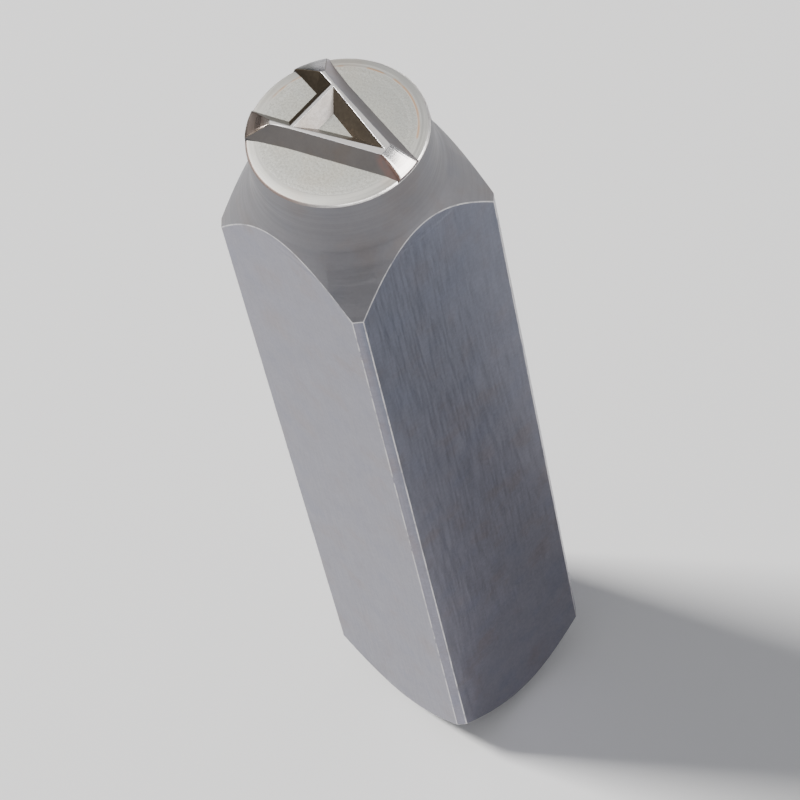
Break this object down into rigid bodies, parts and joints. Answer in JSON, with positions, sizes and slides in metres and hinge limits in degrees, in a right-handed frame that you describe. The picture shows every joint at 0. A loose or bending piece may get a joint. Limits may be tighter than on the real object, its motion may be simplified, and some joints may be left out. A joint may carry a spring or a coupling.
{
  "type": "steel letter punch",
  "caption": "Steel hand stamp: a square shank turned down to a round letter end, with one raised letter on its flat disc and a bevelled struck face at the foot.",
  "frame": {"origin": "centre of the flat struck face, which the punch stands on", "axes": "+Z along the shank towards the raised letter; the four flats of the shank face +X, -X, +Y and -Y; the letter's apex points towards -Y, turned 4 degrees towards +X"},
  "size_m": [0.014, 0.014, 0.07],
  "materials": {
    "tool_steel": "satin ground flats and turned cone, matt end disc, worn bright edges"
  },
  "bodies": {
    "root": {"letter_punch": "tool_steel"}
  },
  "joints": []
}
